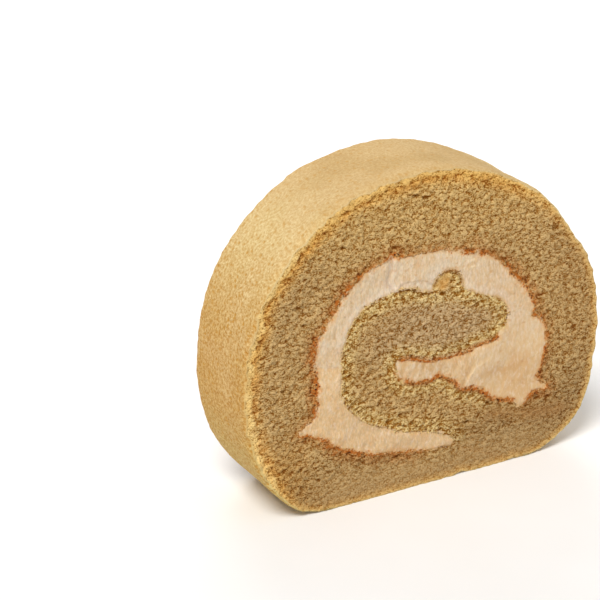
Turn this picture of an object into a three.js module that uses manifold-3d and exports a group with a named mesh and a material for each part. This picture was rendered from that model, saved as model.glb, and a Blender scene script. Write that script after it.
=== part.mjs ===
// A thick slice of swiss roll: a sponge sheet rolled up round its cream and cut across, standing on the
// roll's flattened underside. The roll's axis is Y, the cut faces look along -Y and +Y, and +Z is up.
// All sizes are millimetres. The origin is on the underside, below the middle of the slice.
import * as THREE from "three";
import { mergeVertices } from "three/addons/utils/BufferGeometryUtils.js";
import Module from "manifold-3d";

const wasm = await Module();
wasm.setup();

// Driving dimensions.
const WIDTH = 90; // across the roll
const HEIGHT = 73.4; // from the underside to the crown
const THICKNESS = 22; // from one cut face to the other
const GAP = 0.3; // clearance between the sponge and the cream

// Outer surface of the roll: its radius every 15 degrees, starting at +X and turning towards +Z, measured
// from a point AXIS_HEIGHT above the underside. It sags out at the lower right and is pressed in at the
// upper right. Its lowest stretch reaches below zero, and is then pressed flat.
const AXIS_HEIGHT = 33;
const RADII = [
  44.9, 43.8, 41.8, 41.2, 40.4, 40.0, 40.5, 41.2, 42.6, 43.4, 44.2, 44.6,
  44.9, 45.7, 45.9, 44.7, 41.0, 38.8, 37.8, 38.8, 41.6, 45.8, 48.6, 46.5,
];
const SETTLE = 2.6; // the underside leaves its flat in a curve this high
const FLAT_UNDER = 0.1; // heights under this are flat too, so that the flat ends at a clear edge
const RIM_STEPS = 120; // facets round the roll
const SKIN_ROWS = 7; // rows of facets across the thickness
const SKIN_DENT = 0.4; // deepest dent in the baked skin
const DENT_CLEAR = 4; // height above the underside where the dents fade in

// Cream: [x, z, thickness] stations along the middle of the spread layer, from its thin tail under the roll
// round the left and over the top to its thick end at the right.
const LAYER = [
  [6.2, 8.6, 2.4], [3.6, 9.5, 3.4], [0.5, 10.3, 4.4], [-5, 11.4, 4.7], [-11.2, 13.2, 5.8], [-17.6, 15.8, 7],
  [-22.8, 20.2, 8.2], [-24.4, 26.4, 5.6], [-24.2, 32, 5.8], [-24.4, 38, 6.6], [-20.8, 44.2, 5.6],
  [-16.2, 48.4, 7], [-10, 50.8, 7.8], [-4.5, 50.8, 7.4], [1, 49.9, 9.4], [8.2, 48.6, 8], [14.7, 46, 8.4],
  [20.6, 41.6, 5.8], [23.5, 37, 6.4], [23.6, 33.8, 7], [24.6, 30.4, 11.2], [25, 27, 11.4],
  [24.4, 22, 10], [24.8, 16.4, 7], [25, 14, 3],
];
// The tongue is the layer's first fold, pressed back under the innermost lobe of sponge.
const TONGUE = [
  [22.2, 22.6, 14.6], [19.2, 23.8, 15], [15, 24.8, 11.2], [10.5, 25, 8.2], [5.2, 26.9, 4.2],
  [1.5, 27.5, 2.6], [-1, 27.2, 3.6], [-3.4, 27.5, 4.4], [-5, 28.1, 4.7], [-6.2, 28.7, 4.4],
];
// Where the roll's first turn pinched the cream: a spur squeezed out at the left, another at the right,
// and a bulge of sponge that pushes up into the layer under the crown.
const LEFT_SPUR = [[-30.6, 19.8, 1.2], [-27.2, 20.4, 4.6], [-24, 21.2, 7]];
const RIGHT_SPUR = [[31.6, 15.7, 0.7], [29.6, 16.6, 2.2], [27, 18, 4]];
const BULGE = { x: 4.6, z: 45.4, halfWidth: 3.7, halfHeight: 4.1 };
const STATION_STEPS = 5; // points between two stations
const END_STEPS = 5; // points round each rounded end
const EDGE_WAVE = 0.35; // unevenness of the cream's edge
const EDGE_WAVE_LENGTH = 7;

// Cut faces: they sink a little inside the skin, and the cream lies a little below the crumb.
const FACE_CELL = 3; // facet size on the cut faces
const DIP = 0.7; // deepest hollow
const CREAM_SINK = 0.15; // the cream's depth below the crumb
const DIP_FADE = 9; // distance inside the skin over which the hollows fade in
const HOLLOW_SPAN = 17; // distance between neighbouring hollows
const HOLLOW_SEED = 4;
const OVERSHOOT = 3; // length by which a prism runs past the faces that trim it

// A slow, repeatable unevenness from 0 to 1 over (u, v), where 2 pi is one span.
function unevenness(u, v, seed) {
  const along = Math.sin(u + 1.3 * Math.sin(0.7 * v + seed));
  const across = Math.sin(1.2 * v + 2 * seed + 1.1 * Math.sin(0.8 * u));
  return 0.5 + 0.25 * (along + across);
}

// Height with the underside pressed flat: unchanged above SETTLE, a parabola below it, and zero where the
// parabola is under FLAT_UNDER.
function settled(z) {
  if (z >= SETTLE) return z;
  const rise = Math.max(z + SETTLE, 0) ** 2 / (4 * SETTLE);
  return rise < FLAT_UNDER ? 0 : rise;
}

// Outline of the roll in its cut plane, scaled to WIDTH and HEIGHT, with its underside at zero.
function rollOutline() {
  const knots = RADII.map((radius, i) => {
    const angle = (2 * Math.PI * i) / RADII.length;
    return new THREE.Vector3(radius * Math.cos(angle), AXIS_HEIGHT + radius * Math.sin(angle), 0);
  });
  const curve = new THREE.CatmullRomCurve3(knots, true, "catmullrom", 0.5);
  const points = curve.getPoints(RIM_STEPS).slice(0, RIM_STEPS);
  const outline = points.map((p) => new THREE.Vector2(p.x, settled(p.y)));
  const box = new THREE.Box2().setFromPoints(outline);
  const size = box.getSize(new THREE.Vector2());
  const middle = box.getCenter(new THREE.Vector2());
  return outline.map(
    (p) => new THREE.Vector2(((p.x - middle.x) * WIDTH) / size.x, (p.y * HEIGHT) / size.y),
  );
}

// Outline of a ribbon. Its middle and its thickness run smoothly through the stations, each edge lies half
// the thickness out along the normal, and both ends are half circles. grow moves the whole edge outwards.
function ribbonOutline(stations, grow) {
  const knots = stations.map(([x, z, thickness]) => new THREE.Vector3(x, z, thickness));
  const curve = new THREE.CatmullRomCurve3(knots, false, "centripetal");
  const steps = STATION_STEPS * (stations.length - 1);
  const left = [];
  const right = [];
  const ends = [];
  let run = 0;
  let last = null;
  for (let i = 0; i <= steps; i++) {
    const p = curve.getPoint(i / steps);
    const t = curve.getTangent(i / steps);
    const heading = Math.atan2(t.y, t.x);
    run += last ? Math.hypot(p.x - last.x, p.y - last.y) : 0;
    last = p;
    const phase = (2 * Math.PI * run) / EDGE_WAVE_LENGTH;
    const half = p.z / 2 + grow;
    const swell = Math.min(1, p.z / 4) * EDGE_WAVE;
    const outer = half + swell * Math.sin(phase + Math.sin(0.43 * phase));
    const inner = half + swell * Math.sin(1.21 * phase + 2);
    left.push(new THREE.Vector2(p.x - outer * Math.sin(heading), p.y + outer * Math.cos(heading)));
    right.push(new THREE.Vector2(p.x + inner * Math.sin(heading), p.y - inner * Math.cos(heading)));
    if (i === 0 || i === steps) ends.push({ p, heading, half });
  }
  const [start, end] = ends.map(({ p, heading, half }, which) => {
    const round = [];
    for (let k = 1; k < END_STEPS; k++) {
      const angle = heading + Math.PI / 2 - (which ? 1 : -1) * ((Math.PI * k) / END_STEPS);
      round.push(new THREE.Vector2(p.x + half * Math.cos(angle), p.y + half * Math.sin(angle)));
    }
    return round;
  });
  return [...left, ...end, ...right.reverse(), ...start.reverse()];
}

// An outline in the XZ plane carried through the slice along Y, past both cut faces.
function prismGeometry(outline, rows) {
  const geometry = new THREE.ExtrudeGeometry(new THREE.Shape(outline), {
    depth: THICKNESS + 2 * OVERSHOOT,
    steps: rows,
    bevelEnabled: false,
  });
  geometry.translate(0, 0, -THICKNESS / 2 - OVERSHOOT);
  geometry.rotateX(Math.PI / 2);
  return geometry;
}

// A closed geometry as a solid that can be cut and joined.
function solid(geometry) {
  const bare = geometry.clone();
  bare.deleteAttribute("normal");
  bare.deleteAttribute("uv");
  const merged = mergeVertices(bare, 1e-4);
  return new wasm.Manifold(
    new wasm.Mesh({
      numProp: 3,
      vertProperties: merged.getAttribute("position").array,
      triVerts: new Uint32Array(merged.index.array),
    }),
  );
}

// Moves each vertex of a geometry to change(x, y, z).
function reshape(geometry, change) {
  const position = geometry.getAttribute("position");
  for (let i = 0; i < position.count; i++) {
    position.setXYZ(i, ...change(position.getX(i), position.getY(i), position.getZ(i)));
  }
  return geometry;
}

// The whole roll between the cuts: its outline carried along Y, with shallow dents in the skin.
function rollSolid() {
  const geometry = prismGeometry(rollOutline(), SKIN_ROWS);
  reshape(geometry, (x, y, z) => {
    const angle = Math.atan2(z - AXIS_HEIGHT, x);
    const fade = THREE.MathUtils.smoothstep(z, 0, DENT_CLEAR);
    const flank = THREE.MathUtils.smoothstep(WIDTH / 2 - Math.abs(x), 0, DENT_CLEAR);
    const crown = THREE.MathUtils.smoothstep(HEIGHT - z, 0, DENT_CLEAR);
    const dent = SKIN_DENT * fade * flank * crown * unevenness(9 * angle, 0.4 * y, 1);
    return [x - dent * Math.cos(angle), y, z - dent * Math.sin(angle)];
  });
  return solid(geometry);
}

// The space between the two cuts: a block whose front and back have shallow hollows that fade out towards
// the skin. Both faces lie sink below the cuts.
function betweenCuts(sink) {
  const across = WIDTH + 2 * OVERSHOOT;
  const up = HEIGHT + 2 * OVERSHOOT;
  const geometry = new THREE.BoxGeometry(
    across,
    THICKNESS,
    up,
    Math.round(across / FACE_CELL),
    1,
    Math.round(up / FACE_CELL),
  );
  geometry.translate(0, 0, HEIGHT / 2);
  const turn = (2 * Math.PI) / HOLLOW_SPAN;
  reshape(geometry, (x, y, z) => {
    const side = Math.sign(y);
    const inside = Math.min(z, HEIGHT - AXIS_HEIGHT - Math.hypot(x, z - AXIS_HEIGHT));
    const fade = THREE.MathUtils.smoothstep(inside, 0, DIP_FADE);
    const hollow = DIP * fade * unevenness(turn * x, turn * z, HOLLOW_SEED + side);
    return [x, y - side * (sink + hollow), z];
  });
  return solid(geometry);
}

// The space that the cream fills, from cut to cut, with its edge moved outwards by grow.
function creamSpace(grow) {
  const { x, z, halfWidth, halfHeight } = BULGE;
  const bulge = new THREE.EllipseCurve(x, z, halfWidth - grow, halfHeight - grow);
  return [TONGUE, LEFT_SPUR, RIGHT_SPUR]
    .reduce(
      (whole, stations) => whole.add(solid(prismGeometry(ribbonOutline(stations, grow), 1))),
      solid(prismGeometry(ribbonOutline(LAYER, grow), 1)),
    )
    .subtract(solid(prismGeometry(bulge.getPoints(24).slice(0, 24), 1)));
}

// A solid as a named mesh.
function mesh(name, body, material) {
  const { vertProperties, triVerts } = body.getMesh();
  const geometry = new THREE.BufferGeometry();
  geometry.setAttribute("position", new THREE.BufferAttribute(new Float32Array(vertProperties), 3));
  geometry.setIndex(new THREE.BufferAttribute(new Uint32Array(triVerts), 1));
  geometry.computeVertexNormals();
  const made = new THREE.Mesh(geometry, material);
  made.name = name;
  return made;
}

const crumb = new THREE.MeshStandardMaterial({ color: 0xb4935a, roughness: 0.95, metalness: 0 });
const spread = new THREE.MeshStandardMaterial({ color: 0xe8c9a0, roughness: 0.6, metalness: 0 });

const slice = new THREE.Group();
slice.add(mesh("sponge", rollSolid().intersect(betweenCuts(0)).subtract(creamSpace(GAP)), crumb));
slice.add(mesh("cream", creamSpace(0).intersect(betweenCuts(CREAM_SINK)), spread));

export default slice;
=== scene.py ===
import math

import bpy
import numpy as np
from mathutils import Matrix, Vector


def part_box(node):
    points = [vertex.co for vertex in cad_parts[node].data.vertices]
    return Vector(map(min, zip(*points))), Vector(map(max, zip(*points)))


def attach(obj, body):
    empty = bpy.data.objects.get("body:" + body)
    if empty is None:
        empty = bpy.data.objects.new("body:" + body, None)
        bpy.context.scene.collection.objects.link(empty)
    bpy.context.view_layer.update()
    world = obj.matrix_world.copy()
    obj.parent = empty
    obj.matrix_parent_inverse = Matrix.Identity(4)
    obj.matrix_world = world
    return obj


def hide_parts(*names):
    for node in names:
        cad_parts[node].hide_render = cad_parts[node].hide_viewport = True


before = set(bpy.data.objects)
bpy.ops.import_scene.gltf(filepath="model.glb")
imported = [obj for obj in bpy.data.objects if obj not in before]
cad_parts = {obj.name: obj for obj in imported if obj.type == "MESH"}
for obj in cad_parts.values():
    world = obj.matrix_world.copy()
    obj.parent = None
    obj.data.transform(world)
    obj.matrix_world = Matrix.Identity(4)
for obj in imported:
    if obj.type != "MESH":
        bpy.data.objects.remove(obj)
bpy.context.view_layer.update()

# A thick slice of swiss roll, standing on the roll's flattened underside. The roll's axis is Y, the front cut
# looks along -Y and +Z is up. Lengths are millimetres until a mesh is made, which is in metres.

MM = 0.001
lowest, highest = (np.array(corner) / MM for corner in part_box("sponge"))
WIDTH, THICKNESS, HEIGHT = highest - lowest
CUT = THICKNESS / 2  # distance of each cut face from the middle of the slice

# Roll outline: its radius every 15 degrees from +X towards +Z, about a point AXIS_HEIGHT above the underside.
AXIS_HEIGHT = 33
RADII = [
    44.9, 43.8, 41.8, 41.2, 40.4, 40.0, 40.5, 41.2, 42.6, 43.4, 44.2, 44.6,
    44.9, 45.7, 45.9, 44.7, 41.0, 38.8, 37.8, 38.8, 41.6, 45.8, 48.6, 46.5,
]
SETTLE = 2.6  # the underside leaves its flat in a curve this high

# Cream: [x, z, thickness] stations along the spread layer, from its thin tail to its thick end.
LAYER = [
    [6.2, 8.6, 2.4], [3.6, 9.5, 3.4], [0.5, 10.3, 4.4], [-5, 11.4, 4.7], [-11.2, 13.2, 5.8], [-17.6, 15.8, 7],
    [-22.8, 20.2, 8.2], [-24.4, 26.4, 5.6], [-24.2, 32, 5.8], [-24.4, 38, 6.6], [-20.8, 44.2, 5.6],
    [-16.2, 48.4, 7], [-10, 50.8, 7.8], [-4.5, 50.8, 7.4], [1, 49.9, 9.4], [8.2, 48.6, 8], [14.7, 46, 8.4],
    [20.6, 41.6, 5.8], [23.5, 37, 6.4], [23.6, 33.8, 7], [24.6, 30.4, 11.2], [25, 27, 11.4],
    [24.4, 22, 10], [24.8, 16.4, 7], [25, 14, 3],
]
TONGUE = [
    [22.2, 22.6, 14.6], [19.2, 23.8, 15], [15, 24.8, 11.2], [10.7, 25, 8.8], [8, 25.9, 6.2],
    [5.3, 26.7, 4.1], [2.7, 27.2, 3.3], [0, 27, 4.4], [-3, 27.7, 4.9], [-5.2, 28.5, 4.8],
]
TIP = [[-7.4, 30.5, 1.2], [-6.8, 28.7, 2], [-5.9, 27.1, 1.8]]  # blunt end of the tongue
SHOULDER = [[19.4, 31.4, 3], [21.6, 28.6, 5]]  # fills the corner between the tongue and the layer
LEFT_SPUR = [[-30.6, 19.8, 1.2], [-27.2, 20.4, 4.6], [-24, 21.2, 7]]
RIGHT_SPUR = [[31.6, 15.7, 0.7], [29.6, 16.6, 2.2], [27, 18, 4]]
BULGE = (4.6, 45.4, 3.7, 4.1)  # x, z, half width and half height of the sponge that pushes into the layer
TEETH = [  # where the cream pushes up into the crumb
    [[-9.7, 55.1, 0.8], [-9.4, 53.2, 2.6]],
    [[11.7, 51.8, 1.8], [11.2, 50, 3.4]],
]
STATION_STEPS = 10  # points between two stations

# Fine features of the cuts, each a path of [x, z] points.
MARKS = {
    # split in the cream under the crown
    "fissure": [[-9.9, 56.8], [-9.5, 54.7], [-9.2, 52.4], [-9.8, 50], [-9, 48], [-8.4, 46.6]],
    # where the cream laps over itself, left of the bulge and along the inner edge of the left arm
    "lap": [[-7.6, 47.9], [-6.7, 48.5], [-3.8, 48.6], [-1.4, 48.2], [0.4, 47.2]],
    "inner lap": [
        [-8.6, 47.4], [-10.1, 47.6], [-15.7, 46.2], [-18, 44.7], [-19.8, 43.2], [-21.4, 40.5], [-22.9, 38],
    ],
    # lip of the thick end, and a darker wipe across that end
    "lip": [[9.5, 21], [10, 23.2], [11, 24.6], [12.6, 25.7], [15, 26.5], [19.7, 27.9]],
    "smudge": [[14, 23.6], [18.5, 22.6], [22, 22.8], [25.5, 23.8]],
    # small step in the left arm
    "step": [[-28.6, 34.4], [-26.8, 34.1], [-24, 33.4], [-20.6, 32.7]],
    # gap between the cream and the crumb, painted dark as the shade in it
    "crack": [[-7.6, 47.1], [-5.4, 47], [-3.4, 46.3]],
    # outer end of the rolled sheet
    "seam": [[7.5, 7], [11.5, 5.3], [16.9, 2.9], [23.2, -0.5]],
    # pressed streak below the thick end
    "smear": [[17, 13.2], [20, 12.6], [27.3, 10.7], [35.6, 9.7]],
}
STEPS = {"step": 0.24, "lap": 0.2, "inner lap": 0.06}  # how far the cream steps down at each
FROTH = (11, 50.4)  # middle of the frothy patch of cream
FROTH_RADIUS = 2
BURNT = [  # x and z of the darkest patches of crust beside the cream
    (-17.5, 53.5), (-8.6, 54.8), (9.6, 52.6), (13.4, 51.2), (19.5, 48.5), (24.2, 42), (30.2, 25.4),
    (29.8, 20.4), (28, 14.8), (23.6, 13.2), (19.2, 14.8), (15, 18.6), (12.4, 20.2), (9, 22), (2.6, 25.2),
    (-15.2, 11.6), (-20, 12.2), (-23, 13.6), (-25.6, 15.8), (-29.8, 18.6), (-28.6, 24.4), (-27.6, 29),
]
BURNT_RADIUS = 1.3

# Slow hollows of the cut faces, as in the solid model.
DIP = 0.7  # deepest hollow
DIP_FADE = 9  # distance inside the skin over which the hollows fade in
HOLLOW_SPAN = 17  # distance between neighbouring hollows
HOLLOW_SEED = 4
UNDER = 0.04  # the cream's rim lies this much under the crumb's

# The skin.
RIM = [(0.0, 0.7), (0.2, 0.42), (0.55, 0.2), (1.1, 0.06), (1.8, 0.0)]  # distance from the cut, and inset
SKIN_STEP = 1.1  # rows of points across the skin are no further apart than this
SKIN_DENT = 0.4  # deepest dent
DENT_CLEAR = 4  # the dents fade in over this distance from the underside, the sides and the crown
NOTCHES = [(9.3, 0.5), (23.2, 0.35)]  # x and depth of the kinks where the sheet's outer end meets the ground

# Fine meshes.
SPONGE_CELL = 0.345  # lattice of the crumb on the cut faces
CREAM_CELL = 0.3
KEEP_OFF = 0.62  # share of a cell that the lattice stays off the walls
FIELD_CELL = 0.25  # lattice on which distances are kept
FIELD_LOW = (-50.0, -6.0)
FIELD_HIGH = (50.0, 82.0)
SKIN_COLUMNS = 620  # points round the roll
CREAM_COLUMNS = 1300  # points round the cream's edge
CREAM_ROWS = 4  # points from cut to cut along the cream's wall
OVERLAP = 0.12  # the sponge and the cream each reach this far past their shared edge
SIDES = ((-1, 0), (1, -1))  # the two cuts, front and back: the side in Y, and the row in a wall

# The camera looks down on the front cut from its left. Its place is in metres, its tilt in degrees up from
# straight down, and its turn in degrees round the upright.
CAMERA_PLACE = (-0.21357, -0.33480, 0.20968)
CAMERA_TILT = 66.79
CAMERA_TURN = -29.33
LIGHTS = [  # name, kind, direction (for a soft box as long as it is far, in metres), spread and power
    ("key", "SUN", (-0.38, -0.31, 0.72), 0.4, 2.4),
    ("fill", "AREA", (0.6, -0.6, 0.4), 0.6, 0.8),
    ("back", "AREA", (0.3, 0.8, 0.5), 0.6, 3),
]


# ---------------------------------------------------------------- curves


def smoothstep(value, low, high):
    """0 up to low, 1 from high, and the cubic 3t^2 - 2t^3 between them; low may be the larger."""
    t = np.clip((np.asarray(value, float) - low) / (high - low), 0, 1)
    return t * t * (3 - 2 * t)


def bump_between(value, low, high):
    """A smooth bump: 0 at low and high, and 1 halfway."""
    middle = (low + high) / 2
    return smoothstep(value, low, middle) * smoothstep(value, high, middle)


def falling(distance, width):
    """1 at no distance, falling away to both sides as exp(-(distance / width)^2)."""
    return np.exp(-((distance / width) ** 2))


def smooth_path(knots, samples, closed=False):
    """Centripetal Catmull-Rom curve: on each span a cubic between two knots, whose end slopes weigh the
    neighbouring chords by the square roots of their lengths. Returns samples points, evenly spread over the
    spans."""
    p = np.asarray(knots, float)
    p = np.vstack([p[-1:], p, p[:2]] if closed else [2 * p[:1] - p[1:2], p, 2 * p[-1:] - p[-2:-1]])
    spans = len(p) - 3
    u = np.linspace(0, spans, samples, endpoint=not closed)
    i = np.minimum(u.astype(int), spans - 1)
    t = (u - i)[:, None]
    root = np.sqrt(np.linalg.norm(np.diff(p, axis=0), axis=1))[:, None]
    d0, d1, d2 = root[i], root[i + 1], root[i + 2]
    p0, p1, p2, p3 = p[i], p[i + 1], p[i + 2], p[i + 3]
    slope1 = d1 * ((p1 - p0) / d0 - (p2 - p0) / (d0 + d1)) + p2 - p1
    slope2 = d1 * ((p3 - p2) / d2 - (p3 - p1) / (d1 + d2)) + p2 - p1
    return (
        (2 * t**3 - 3 * t**2 + 1) * p1
        + (t**3 - 2 * t**2 + t) * slope1
        + (3 * t**2 - 2 * t**3) * p2
        + (t**3 - t**2) * slope2
    )


def roll_edge(samples):
    """Outline of the roll, anticlockwise from +X: the radii joined by a smooth closed curve, the part near
    the ground pressed flat by a parabola, and the whole scaled to the slice's width and height."""
    turn = np.radians(np.arange(len(RADII)) * 360 / len(RADII))
    knots = np.stack([RADII * np.cos(turn), AXIS_HEIGHT + RADII * np.sin(turn)], axis=1)
    x, z = smooth_path(knots, samples, closed=True).T
    z = np.where(z >= SETTLE, z, np.maximum(z + SETTLE, 0) ** 2 / (4 * SETTLE))
    x = (x - (x.max() + x.min()) / 2) * WIDTH / (x.max() - x.min())
    return np.stack([x, z * HEIGHT / z.max()], axis=1)


def ribbon_edge(stations):
    """Outline of a ribbon: from its smooth middle line, half its thickness out along the normal on one side,
    a half circle round the end, back along the other side, and a half circle round the start."""
    x, z, thickness = smooth_path(stations, STATION_STEPS * (len(stations) - 1) + 1).T
    heading = np.arctan2(np.gradient(z), np.gradient(x))
    half = thickness / 2
    across = np.stack([-np.sin(heading), np.cos(heading)], axis=1) * half[:, None]
    middle = np.stack([x, z], axis=1)
    sweep = np.linspace(0, math.pi, 9)[1:-1]

    def cap(k, turn):
        angle = heading[k] + math.pi / 2 + turn * sweep
        return middle[k] + half[k] * np.stack([np.cos(angle), np.sin(angle)], axis=1)

    return np.vstack([middle + across, cap(-1, -1), (middle - across)[::-1], cap(0, 1)[::-1]])


def ellipse_edge(x, z, half_width, half_height):
    """Points round an ellipse: the middle plus the half sizes times the cosine and sine of the turn."""
    turn = np.linspace(0, 2 * math.pi, 48, endpoint=False)
    return np.stack([x + half_width * np.cos(turn), z + half_height * np.sin(turn)], axis=1)


# ---------------------------------------------------------------- distance fields on a lattice


def field_axes():
    """The x values and the z values of the field lattice."""
    return [np.arange(a, b + FIELD_CELL, FIELD_CELL) for a, b in zip(FIELD_LOW, FIELD_HIGH)]


def path_distance(path, closed):
    """For each point of the field lattice: its distance to the nearest stretch of a path, the number of
    crossings of the path by a ray to +X, and the side of that stretch it is on (the cross product's sign,
    positive on the left)."""
    xs, zs = field_axes()
    start = path if closed else path[:-1]
    run = (np.roll(path, -1, axis=0) if closed else path[1:]) - start
    length2 = np.maximum((run**2).sum(axis=1), 1e-12)
    distance = np.empty((len(xs), len(zs)))
    crossings = np.empty_like(distance)
    side = np.empty_like(distance)
    for i, x in enumerate(xs):
        off_x = x - start[:, 0]
        off_z = zs[:, None] - start[:, 1]
        t = np.clip((off_x * run[:, 0] + off_z * run[:, 1]) / length2, 0, 1)
        gap_x, gap_z = off_x - t * run[:, 0], off_z - t * run[:, 1]
        squared = gap_x**2 + gap_z**2
        nearest = squared.argmin(axis=1)
        rows = np.arange(len(zs))
        distance[i] = np.sqrt(squared[rows, nearest])
        side[i] = np.sign(run[nearest, 0] * gap_z[rows, nearest] - run[nearest, 1] * gap_x[rows, nearest])
        end_z = start[:, 1] + run[:, 1]
        spans = (start[:, 1] <= zs[:, None]) != (end_z <= zs[:, None])
        share = off_z / np.where(run[:, 1] == 0, 1e-12, run[:, 1])
        crossings[i] = (spans & (start[:, 0] + share * run[:, 0] > x)).sum(axis=1)
    return distance, crossings, side


def area_field(outline):
    """Signed distance to a closed outline on the field lattice: negative inside, where a ray crosses an odd
    number of times."""
    distance, crossings, _ = path_distance(outline, True)
    return np.where(crossings % 2 == 1, -distance, distance)


def line_field(path):
    """Signed distance to an open path on the field lattice: positive on its left."""
    distance, _, side = path_distance(np.asarray(path, float), False)
    return distance * side


def look_up(field, x, z):
    """Bilinear value of a field: the four lattice values round a point, weighed by nearness."""
    u = np.clip((x - FIELD_LOW[0]) / FIELD_CELL, 0, field.shape[0] - 1.001)
    v = np.clip((z - FIELD_LOW[1]) / FIELD_CELL, 0, field.shape[1] - 1.001)
    i, j = u.astype(int), v.astype(int)
    s, t = u - i, v - j
    low_row = field[i, j] * (1 - s) + field[i + 1, j] * s
    high_row = field[i, j + 1] * (1 - s) + field[i + 1, j + 1] * s
    return low_row * (1 - t) + high_row * t


def joined(a, b, blend=0.5):
    """Union of two areas with a rounded inner corner: the smaller distance, lowered where both are near
    zero by the square of what is left of the blend's radius."""
    near_both = np.maximum(blend - np.abs(a - b), 0)
    return np.minimum(a, b) - near_both**2 / (4 * blend)


# ---------------------------------------------------------------- repeatable randomness


def scatter(ix, iy, iz, seed):
    """A repeatable random number from 0 to 1 for whole numbers: they are multiplied by large odd numbers,
    added, and the bits folded down on themselves twice."""
    n = (
        ix.astype(np.int64) * 374761393
        + iy.astype(np.int64) * 668265263
        + iz.astype(np.int64) * 1442695041
        + seed * 1274126177
    ) & 0xFFFFFFFF
    n = ((n ^ (n >> 13)) * 1103515245) & 0xFFFFFFFF
    n = ((n ^ (n >> 16)) * 2246822519) & 0xFFFFFFFF
    return ((n ^ (n >> 15)) & 0xFFFFFF) / 0xFFFFFF


def drift(x, y, z, size, seed):
    """Smooth noise from -1 to 1 with features of that size: random values on a cubic lattice, blended by
    3t^2 - 2t^3 along each axis."""
    point = [np.asarray(c, float) / size + 17.3 * (k + 1) for k, c in enumerate(np.broadcast_arrays(x, y, z))]
    base = [np.floor(c).astype(np.int64) for c in point]
    ease = [smoothstep(c - b, 0, 1) for c, b in zip(point, base)]
    total = 0
    for corner in np.ndindex(2, 2, 2):
        weight = math.prod(e if step else 1 - e for e, step in zip(ease, corner))
        total = total + weight * scatter(*(b + step for b, step in zip(base, corner)), seed)
    return 2 * total - 1


def pores(x, z, spacing, radius, share, stretch, seed):
    """Depth from 0 to 1 of round-bottomed pores: in each square of that spacing one pore, present for that
    share of the squares, at a random place with a random radius between the two given, stretched along a
    direction up to a quarter of a radian from +X. Its depth is 1 - d^2, with d the distance in radii, and
    where pores meet the deeper one counts."""
    column = np.floor(x / spacing).astype(np.int64)
    row = np.floor(z / spacing).astype(np.int64)
    which = np.full_like(column, seed)
    deepest = np.zeros_like(x)
    for dx in (-1, 0, 1):
        for dz in (-1, 0, 1):
            c, r = column + dx, row + dz
            px = (c + scatter(c, r, which, 1)) * spacing
            pz = (r + scatter(c, r, which, 2)) * spacing
            size = radius[0] + (radius[1] - radius[0]) * scatter(c, r, which, 3) ** 2
            tilt = 0.5 * (scatter(c, r, which, 5) - 0.5)
            gap_x, gap_z = x - px, z - pz
            along = (gap_x * np.cos(tilt) + gap_z * np.sin(tilt)) / stretch
            across = (gap_z * np.cos(tilt) - gap_x * np.sin(tilt)) * stretch**0.5
            depth = 1 - (along**2 + across**2) / size**2
            there = scatter(c, r, which, 4) < share
            deepest = np.maximum(deepest, np.where(there, depth, 0))
    return deepest


# ---------------------------------------------------------------- the slice's own fields

layer_field, tongue_field = (area_field(ribbon_edge(stations)) for stations in (LAYER, TONGUE))
side_field, tongue_side = (line_field(smooth_path(path, 150)[:, :2]) for path in (LAYER, TONGUE))
bulge_field = area_field(ellipse_edge(*BULGE))
mark_fields = {name: line_field(smooth_path(path, 40)) for name, path in MARKS.items()}

cream_field = joined(layer_field, tongue_field)
for stations in (LEFT_SPUR, RIGHT_SPUR, TIP, SHOULDER, *TEETH):
    cream_field = joined(cream_field, area_field(ribbon_edge(stations)))
cream_field = -joined(-cream_field, bulge_field)


def off_mark(name, x, z):
    """Signed distance to the path of a mark, positive on its left."""
    return look_up(mark_fields[name], x, z)


def bell(name, x, z, width):
    """1 on the path of a mark, falling to each side as exp(-(d / width)^2), where d is the distance to it."""
    return falling(off_mark(name, x, z), width)


def browned(x, z):
    """1 beside the stretches of cream that lie on the sheet's browned side, 0 beside its bare side: the
    outer side of the layer, weaker at its tail, and both sides of the tongue."""
    tail = smoothstep(x, -6, 3) * smoothstep(z, 14, 12)
    outer = smoothstep(look_up(side_field, x, z), -0.6, 0.6) * (1 - 0.75 * tail)
    tongue = smoothstep(look_up(tongue_field, x, z), 1.6, 0.6) * smoothstep(z, 34.5, 32.5)
    tip = smoothstep(x + 0.4 * (z - TIP[1][1]), TIP[1][0] + 0.6, TIP[1][0] - 0.8)
    return np.maximum(outer, tongue * (1 - 0.7 * tip))


def tongue_top(x, z):
    """1 along the upper edge of the tongue, which is smooth and has a thin line of crust, and 0 elsewhere."""
    above = smoothstep(look_up(tongue_side, x, z), 0.4, -0.4) * smoothstep(z, 34.5, 32.5)
    return above * smoothstep(look_up(tongue_field, x, z), 2.6, 1.4) * smoothstep(x, 20, 16)


def cream_edge(x, y, z):
    """Signed distance to the cream's edge, negative in the cream: the joined outlines, made ragged by noise
    of three sizes, most on the browned side and least round the bulge and on top of the tongue."""
    calm = np.maximum(smoothstep(np.abs(look_up(bulge_field, x, z)), 1.2, 0.4), tongue_top(x, z))
    rough = (0.5 + 0.5 * browned(x, z)) * (1 - 0.8 * calm)
    waves = (
        0.2 * drift(x, 0.4 * y, z, 3.0, 11)
        + rough * 0.4 * drift(x, y, z, 1.3, 12)
        + rough * 0.24 * drift(x, y, z, 0.6, 13)
    )
    return look_up(cream_field, x, z) + waves


# ---------------------------------------------------------------- closed bodies with two cut faces


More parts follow.
